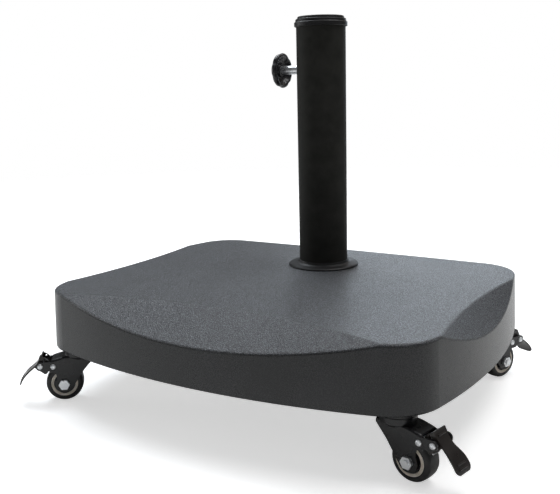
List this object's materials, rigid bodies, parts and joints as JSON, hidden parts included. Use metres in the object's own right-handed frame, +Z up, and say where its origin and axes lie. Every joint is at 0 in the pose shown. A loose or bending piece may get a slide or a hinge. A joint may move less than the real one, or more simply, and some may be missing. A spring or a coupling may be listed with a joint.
{
  "type": "parasol base",
  "caption": "Rolling parasol base: heavy scooped slab, upright clamp tube with pole reducers and a side knob, on braked swivel castors.",
  "frame": {"origin": "on the floor, under the middle of the object", "axes": "+Z up along the tube, +X along the slab's long side, -Y towards the widest scooped edge, the tube towards +Y"},
  "size_m": [0.4948, 0.3651, 0.4011],
  "materials": {
    "slab_plastic": "satin",
    "concrete": "matte",
    "powder_coat": "satin",
    "black_plastic": "satin",
    "knob_gloss": "gloss",
    "zinc_steel": "satin",
    "bare_steel": "satin",
    "black_ecoat": "gloss",
    "hub_nylon": "satin",
    "beige_ring": "satin",
    "tyre_black": "satin"
  },
  "bodies": {
    "root": {"base_shell": "slab_plastic", "ballast_block": "concrete", "castor_inserts": "zinc_steel", "stand_tube": "powder_coat", "tube_flange": "black_plastic", "tube_foot": "bare_steel", "anchor_washer": "zinc_steel", "anchor_bolt": "zinc_steel", "tube_collar": "black_plastic", "knob_nut": "zinc_steel", "fl_stem": "black_ecoat", "fr_stem": "black_ecoat", "bl_stem": "black_ecoat", "br_stem": "black_ecoat"},
    "outer_reducer": {"reducer_outer": "black_plastic"},
    "inner_reducer": {"reducer_inner": "black_plastic"},
    "clamp_stud": {"clamp_screw": "zinc_steel"},
    "clamp_grip": {"clamp_knob": "knob_gloss"},
    "fl_fork_body": {"fl_fork": "black_ecoat", "fl_balls": "zinc_steel", "fl_axle_bolt": "zinc_steel", "fl_axle_bush": "bare_steel", "fl_rivets": "zinc_steel"},
    "fl_wheel": {"fl_wheel_hub": "hub_nylon", "fl_wheel_ring": "beige_ring", "fl_tyre": "tyre_black"},
    "fl_brake": {"fl_brake_pedal": "black_ecoat"},
    "fl_leaf": {"fl_brake_leaf": "zinc_steel"},
    "fr_fork_body": {"fr_fork": "black_ecoat", "fr_balls": "zinc_steel", "fr_axle_bolt": "zinc_steel", "fr_axle_bush": "bare_steel", "fr_rivets": "zinc_steel"},
    "fr_wheel": {"fr_wheel_hub": "hub_nylon", "fr_wheel_ring": "beige_ring", "fr_tyre": "tyre_black"},
    "fr_brake": {"fr_brake_pedal": "black_ecoat"},
    "fr_leaf": {"fr_brake_leaf": "zinc_steel"},
    "bl_fork_body": {"bl_fork": "black_ecoat", "bl_balls": "zinc_steel", "bl_axle_bolt": "zinc_steel", "bl_axle_bush": "bare_steel", "bl_rivets": "zinc_steel"},
    "bl_wheel": {"bl_wheel_hub": "hub_nylon", "bl_wheel_ring": "beige_ring", "bl_tyre": "tyre_black"},
    "bl_brake": {"bl_brake_pedal": "black_ecoat"},
    "bl_leaf": {"bl_brake_leaf": "zinc_steel"},
    "br_fork_body": {"br_fork": "black_ecoat", "br_balls": "zinc_steel", "br_axle_bolt": "zinc_steel", "br_axle_bush": "bare_steel", "br_rivets": "zinc_steel"},
    "br_wheel": {"br_wheel_hub": "hub_nylon", "br_wheel_ring": "beige_ring", "br_tyre": "tyre_black"},
    "br_brake": {"br_brake_pedal": "black_ecoat"},
    "br_leaf": {"br_brake_leaf": "zinc_steel"}
  },
  "joints": [
    {"name": "outer_reducer_lift", "type": "slide", "parent": "root", "child": "outer_reducer", "axis": [0, 0, 1], "range_m": [0, 0.05]},
    {"name": "inner_reducer_lift", "type": "slide", "parent": "outer_reducer", "child": "inner_reducer", "axis": [0, 0, 1], "range_m": [0, 0.05]},
    {"name": "clamp_feed", "type": "slide", "parent": "root", "child": "clamp_stud", "axis": [1, 0, 0], "range_m": [-0.0076, 0.0126]},
    {"name": "clamp_turn", "type": "hinge", "parent": "clamp_stud", "child": "clamp_grip", "pos_m": [-0.053, 0.083, 0.3438], "axis": [1, 0, 0], "range_deg": [-2160, 3600]},
    {"name": "fl_swivel", "type": "hinge", "parent": "root", "child": "fl_fork_body", "pos_m": [-0.1828, -0.1309, 0.052], "axis": [0, 0, 1], "continuous": true},
    {"name": "fl_roll", "type": "hinge", "parent": "fl_fork_body", "child": "fl_wheel", "pos_m": [-0.19636, -0.14228, 0.0195], "axis": [0.6428, -0.766, 0], "continuous": true},
    {"name": "fl_brake_press", "type": "hinge", "parent": "fl_fork_body", "child": "fl_brake", "pos_m": [-0.21444, -0.15745, 0.0405], "axis": [0.6428, -0.766, 0], "range_deg": [0, 18]},
    {"name": "fl_leaf_press", "type": "hinge", "parent": "fl_fork_body", "child": "fl_leaf", "pos_m": [-0.20433, -0.14896, 0.0395], "axis": [0.6428, -0.766, 0], "range_deg": [-0.01, 3.61]},
    {"name": "fr_swivel", "type": "hinge", "parent": "root", "child": "fr_fork_body", "pos_m": [0.1828, -0.1309, 0.052], "axis": [0, 0, 1], "continuous": true},
    {"name": "fr_roll", "type": "hinge", "parent": "fr_fork_body", "child": "fr_wheel", "pos_m": [0.20011, -0.13458, 0.0195], "axis": [0.2079, 0.9781, 0], "continuous": true},
    {"name": "fr_brake_press", "type": "hinge", "parent": "fr_fork_body", "child": "fr_brake", "pos_m": [0.2232, -0.13949, 0.0405], "axis": [0.2079, 0.9781, 0], "range_deg": [0, 18]},
    {"name": "fr_leaf_press", "type": "hinge", "parent": "fr_fork_body", "child": "fr_leaf", "pos_m": [0.21029, -0.13674, 0.0395], "axis": [0.2079, 0.9781, 0], "range_deg": [-0.01, 3.61]},
    {"name": "bl_swivel", "type": "hinge", "parent": "root", "child": "bl_fork_body", "pos_m": [-0.1828, 0.1211, 0.052], "axis": [0, 0, 1], "continuous": true},
    {"name": "bl_roll", "type": "hinge", "parent": "bl_fork_body", "child": "bl_wheel", "pos_m": [-0.20011, 0.12478, 0.0195], "axis": [-0.2079, -0.9781, 0], "continuous": true},
    {"name": "bl_brake_press", "type": "hinge", "parent": "bl_fork_body", "child": "bl_brake", "pos_m": [-0.2232, 0.12969, 0.0405], "axis": [-0.2079, -0.9781, 0], "range_deg": [0, 18]},
    {"name": "bl_leaf_press", "type": "hinge", "parent": "bl_fork_body", "child": "bl_leaf", "pos_m": [-0.21029, 0.12694, 0.0395], "axis": [-0.2079, -0.9781, 0], "range_deg": [-0.01, 3.61]},
    {"name": "br_swivel", "type": "hinge", "parent": "root", "child": "br_fork_body", "pos_m": [0.1828, 0.1211, 0.052], "axis": [0, 0, 1], "continuous": true},
    {"name": "br_roll", "type": "hinge", "parent": "br_fork_body", "child": "br_wheel", "pos_m": [0.19056, 0.13701, 0.0195], "axis": [-0.8988, 0.4384, 0], "continuous": true},
    {"name": "br_brake_press", "type": "hinge", "parent": "br_fork_body", "child": "br_brake", "pos_m": [0.20091, 0.15822, 0.0405], "axis": [-0.8988, 0.4384, 0], "range_deg": [0, 18]},
    {"name": "br_leaf_press", "type": "hinge", "parent": "br_fork_body", "child": "br_leaf", "pos_m": [0.19512, 0.14636, 0.0395], "axis": [-0.8988, 0.4384, 0], "range_deg": [-0.01, 3.61]}
  ],
  "couplings": [
    {"joint": "clamp_feed", "follows": "clamp_turn", "m_per_rad": 0.00019894},
    {"joint": "fl_leaf_press", "follows": "fl_brake_press", "ratio": 0.2},
    {"joint": "fr_leaf_press", "follows": "fr_brake_press", "ratio": 0.2},
    {"joint": "bl_leaf_press", "follows": "bl_brake_press", "ratio": 0.2},
    {"joint": "br_leaf_press", "follows": "br_brake_press", "ratio": 0.2}
  ]
}
